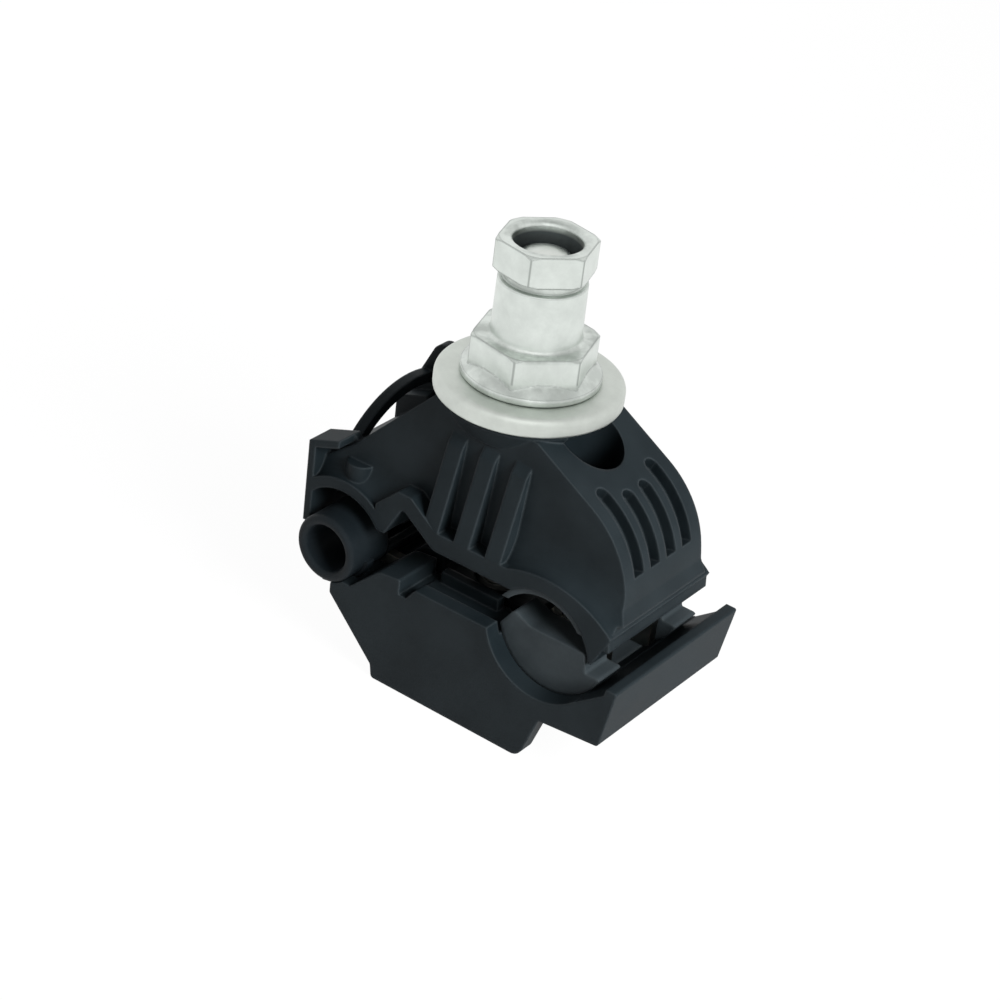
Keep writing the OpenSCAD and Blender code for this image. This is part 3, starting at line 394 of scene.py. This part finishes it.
flange_rows = level([[thread_hole_r, 0], [flange_r - flange_under - flat_gap, 0],
                     *bend(flange_r - flange_under, flange_under, flange_under, -70, 0, 4),
                     *bend(flange_r - flange_over, flange_over_z, flange_over, 0, 55, 5)], nut_columns)
cone_z = np.linspace(cone_z0, cone_z1, corner_rows)
cone_r = np.interp(cone_z, [cone_z0, cone_z1], [cone_wide_r, cone_slim_r])[:, None]
low_end_z = np.linspace(low_top - corner_break, low_top, corner_rows)
low_hexagon = milled(np.concatenate([cone_z, low_flat_z, low_end_z]), low_across, high=low_top)
low_hexagon[0][:corner_rows] = np.maximum(low_hexagon[0][:corner_rows], cone_r)
neck_end_r = neck_r - 2 * neck_taper
neck_rows = level([[ledge_r, low_top],
                   *bend(neck_r + neck_fillet, low_top + neck_fillet, neck_fillet, 270, 180, 6),
                   [neck_r - neck_taper, neck_middle],
                   *bend(neck_end_r - neck_round, groove_z - neck_round, neck_round, 0, 80, 5),
                   [groove_r + groove_break, groove_z], [groove_r, groove_z + groove_break],
                   [groove_r, top_z - groove_break], [groove_r + groove_break, top_z]], nut_columns)
top_start_z = np.linspace(top_z, top_z + corner_break, corner_rows)
top_end_z = np.linspace(nut_h - corner_break, nut_h, corner_rows)
top_hexagon = milled(np.concatenate([top_start_z, top_flat_z, top_end_z]), top_across,
                     low=top_z, high=nut_h)
hollow_rows = level([[hollow_r + mouth_round + flat_gap, nut_h],
                     *bend(hollow_r + mouth_round, nut_h - mouth_round, mouth_round, 96, 180, 9),
                     [hollow_r, hollow_z], [thread_hole_r, hollow_z]], nut_columns)
nut_forms = (flange_rows, low_hexagon, neck_rows, top_hexagon, hollow_rows)
nut_radii = np.concatenate([radii for radii, heights in nut_forms])
nut_heights = np.concatenate([heights for radii, heights in nut_forms]) + nut_z
shear_nut = turned_skin("shear_head_nut", nut_radii, nut_heights, nut_angle, ring=True, sharp=24)

nut_finish, alloy, alloy_shader = new_finish("bright_zinc_alloy")
alloy_soft, alloy_edge = alloy.rubbed(0.0004, 0.004, 0.03)
alloy_cloud = alloy.grain(2.6, 4.0, 0.6).held(0.3, 0.7)
alloy_fine = alloy.grain(0.2, 3.0)
alloy_body = alloy.blend(alloy_cloud, colour(217, 223, 218), colour(230, 236, 231))
alloy_r = alloy.node("VectorMath", {0: alloy.place(1.0, 1.0, 0.0)}, out=1, operation="LENGTH")
alloy_place = alloy.place(1.0, 1.0, 1.0)
alloy_x, alloy_y, alloy_z = (alloy.node("SeparateXYZ", {0: alloy_place}, out=k) for k in range(3))
# Painted reflection: dark lines along the edges and the hexagons' upright corners stand for the dark
# reflections of their tiny bevels.
alloy_turn = alloy_y.maths("ARCTAN2", alloy_x) - hexagon_turn
alloy_corner = 1.0 - (alloy_turn * (3 / math.pi)).maths("PINGPONG", 0.5).held(0.01, 0.024)
alloy_lift = alloy.node("SeparateXYZ", {0: alloy.node("NewGeometry", out=1)}, out=2)
alloy_side = (0.5 - alloy_lift).held(0.0, 0.2) * (alloy_r - (neck_r + 0.5) / 1000).held(0.0, 0.0002)
alloy_corner_line = alloy_corner * alloy_side * (alloy_z - (nut_z + cone_z1 - 0.15) / 1000).held(0.0, 0.0003)
# Painted shade: the hollow in the nut's top is darkened and made rougher below its mouth.
alloy_inner = ((hollow_r + 0.2) / 1000 - alloy_r).held(0.0, 0.0001)
alloy_hollow_shade = alloy_inner * ((nut_high[2] - 0.75) / 1000 - alloy_z).held(0.0, 0.0007)
# Painted shade: grey mottled patches, faint all over and stronger on the flange's cone, the ledge at the
# neck's foot and the groove.
alloy_off = alloy_z - (nut_z + low_top) / 1000
alloy_ledge = 1.0 - alloy_off.maths("ABSOLUTE").held(0.0002, 0.0007)
alloy_groove = ((groove_r + 0.75) / 1000 - alloy_r).held(0.0, 0.0004)
alloy_cone = ((nut_z + cone_z1 + 0.25) / 1000 - alloy_z).held(0.0, 0.0006)
alloy_painted_shade = alloy_cone * 0.5 + alloy_ledge * 0.8 + alloy_groove * 0.7
alloy_mottle_and_shade = alloy.grain(3.4, 4.0, 0.6).held(0.36, 0.62) * (0.2 + alloy_painted_shade)
alloy_painted_lines = alloy_edge.maths("MAXIMUM", alloy_corner_line)
alloy_with_painted_lines = alloy.blend(alloy_painted_lines * 0.6, alloy_body, colour(124, 130, 126))
alloy_mottled_and_shaded = alloy.blend(alloy_mottle_and_shade * 0.6, alloy_with_painted_lines, colour(150, 156, 151))
link(alloy_shader, "Base Color", alloy.blend(alloy_hollow_shade, alloy_mottled_and_shaded, colour(100, 106, 107)))
link(alloy_shader, "Roughness", 0.3 + alloy_cloud * 0.1 + alloy_fine * 0.06 + alloy_hollow_shade * 0.2)
alloy_skin = alloy_fine * 0.6 + alloy_cloud + alloy.lathe(0.12)
link(alloy_shader, "Normal", alloy.node("Bump", {
    "Strength": 0.14, "Distance": 0.00006, "Height": alloy_skin, "Normal": alloy_soft}))
alloy_shader.inputs["Metallic"].default_value = 1.0
shear_nut.data.materials.append(nut_finish)
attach(shear_nut, "shear_nut")
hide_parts("shear_nut")

# Studio: a plain white sheet a hair below the part, which is white to the eye and keeps the part's shadow.
# A soft lamp stands high on the right and a weaker one low at the left rear, both hidden in reflections.
# Metal mirrors the white room, with a dimmer ceiling and a bright window in front.
sheet_z, sheet_columns, paper_white = -0.05, 48, 0.96
sheet_rows = [[4000, sheet_z], [600, sheet_z], [200, sheet_z], [0, sheet_z]]
sheet_radii, sheet_heights = level(sheet_rows, sheet_columns)
floor = turned_skin("white_sheet", sheet_radii, sheet_heights,
                    np.arange(sheet_columns) * 2 * math.pi / sheet_columns, ring=False)
sheet_finish, sheet, sheet_shader = new_finish("white_paper")
sheet_shader.inputs["Base Color"].default_value = (0.9, 0.9, 0.9, 1.0)
sheet_shader.inputs["Roughness"].default_value = 0.9
paper_camera = sheet.node("LightPath", out=0)
paper_seen = paper_camera.maths("MAXIMUM", sheet.node("LightPath", out=3))
paper_glow = sheet.node("Emission", {"Color": (1.0, 1.0, 1.0, 1.0), "Strength": 1.0})
paper_mix = sheet.node("MixShader", {0: paper_seen * paper_white, 2: paper_glow})
sheet.tree.links.new(sheet_shader.outputs[0], paper_mix.socket.node.inputs[1])
sheet.tree.links.new(paper_mix.socket, sheet.tree.nodes["Material Output"].inputs["Surface"])
floor.data.materials.append(sheet_finish)

ceiling_dim, window_gain, room_fill = 0.3, 0.75, 0.18
window_way = (0.385, -0.592, 0.707)
room = bpy.data.worlds.new("white_room")
room.use_nodes = True
bpy.context.scene.world = room
air = Shade(room.node_tree)
way = air.node("TexCoord")
ceiling = air.node("SeparateXYZ", {0: way}, out=2).held(0.62, 0.95)
window = air.node("VectorMath", {0: way, 1: window_way}, out=1, operation="DOT_PRODUCT").held(0.86, 0.97)
mirrored = 1.0 - ceiling * ceiling_dim + window * window_gain
seen = air.node("LightPath", out=0)
glossy = air.node("LightPath", out=3)
strength = seen + (1.0 - seen) * (glossy * mirrored + (1.0 - glossy) * room_fill)
room.node_tree.links.new(strength.socket, room.node_tree.nodes["Background"].inputs["Strength"])
room.node_tree.nodes["Background"].inputs["Color"].default_value = (1.0, 1.0, 1.0, 1.0)


def lamp(name, place, target, size, watts):
    """A square lamp at a place, turned so that it faces the target, and hidden in reflections."""
    light = bpy.data.lights.new(name, "AREA")
    light.size, light.energy = size, watts
    made = bpy.data.objects.new(name, light)
    toward = Vector(target) - Vector(place)
    made.rotation_euler = toward.to_track_quat("-Z", "Y").to_euler()
    made.location = place
    made.visible_glossy = False
    bpy.context.scene.collection.objects.link(made)


jaws_middle = (0, 0, 0.03)
lamp("key_lamp", (0.38, -0.11, 0.27), jaws_middle, 0.18, 4.8)
lamp("fill_lamp", (-0.36, 0.2, 0.14), jaws_middle, 0.3, 1.6)

# Camera: a long lens at the photograph's place, above the part and to its right.
# It leans a few degrees, and stands off its aim a little so that the part sits where the photograph has it.
view_round, view_up, view_lean = math.radians(33.21), math.radians(30.83), math.radians(7.40)
view_away, view_left, view_below = 0.36793, 0.00403, 0.01558
aim = np.array([0.0, 0.0, 0.0477])
back = np.array([math.sin(view_round) * math.cos(view_up), -math.cos(view_round) * math.cos(view_up),
                 math.sin(view_up)])
level_right = np.array([math.cos(view_round), math.sin(view_round), 0.0])
level_up = np.cross(back, level_right)
right = math.cos(view_lean) * level_right + math.sin(view_lean) * level_up
upward = math.cos(view_lean) * level_up - math.sin(view_lean) * level_right
stand = aim + back * view_away - right * view_left - upward * view_below
camera = bpy.data.objects.new("camera", bpy.data.cameras.new("camera"))
camera.data.lens, camera.data.sensor_width = 93.6, 36.0
camera.data.clip_start, camera.data.clip_end = 0.01, 20.0
camera.matrix_world = Matrix([[right[k], upward[k], back[k], stand[k]] for k in range(3)] + [[0, 0, 0, 1]])
bpy.context.scene.collection.objects.link(camera)
bpy.context.scene.camera = camera
bpy.context.scene.view_settings.view_transform = "Standard"
